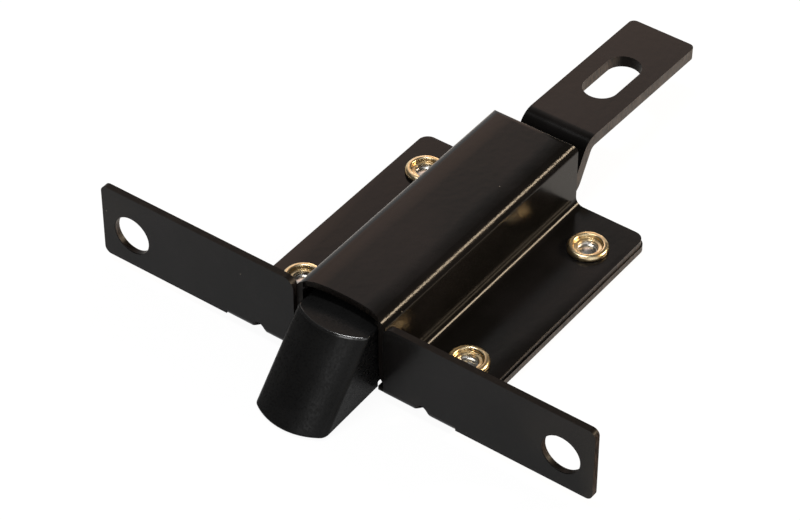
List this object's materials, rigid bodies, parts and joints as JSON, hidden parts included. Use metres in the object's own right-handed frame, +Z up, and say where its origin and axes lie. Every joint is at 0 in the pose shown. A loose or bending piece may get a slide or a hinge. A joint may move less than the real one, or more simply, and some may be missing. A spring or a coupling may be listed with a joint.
{
  "type": "baggage door latch",
  "caption": "Slam latch for a baggage door: spring bolt with a slanted nose in a riveted sheet steel housing, two screw ears and a slotted pull strap.",
  "frame": {"origin": "midway between the two ear holes, in the plane of the ears' front faces", "axes": "+X along the ears, +Y from the ears' front faces back to the pull strap, +Z up from the base plate to the cover"},
  "size_m": [0.1016, 0.1143, 0.0171],
  "materials": {
    "black_paint": "glossy black powder coat on sheet steel",
    "black_nylon": "moulded black nylon with a fine grain",
    "yellow_zinc": "bright yellow zinc plate on steel rivets",
    "spring_steel": "bare spring wire"
  },
  "bodies": {
    "frame": {"mounting_plate": "black_paint", "cover": "black_paint", "rivet_front_left": "yellow_zinc", "rivet_front_right": "yellow_zinc", "rivet_rear_left": "yellow_zinc", "rivet_rear_right": "yellow_zinc", "bolt_spring": "spring_steel"},
    "bolt": {"latch_bolt": "black_nylon", "pull_strap": "black_paint"}
  },
  "joints": [
    {"name": "bolt_slide", "type": "slide", "parent": "frame", "child": "bolt", "axis": [0, 1, 0], "range_m": [0, 0.0127], "stiffness_N_per_m": 520, "springref_m": -0.02, "deforming": ["bolt_spring"]}
  ]
}
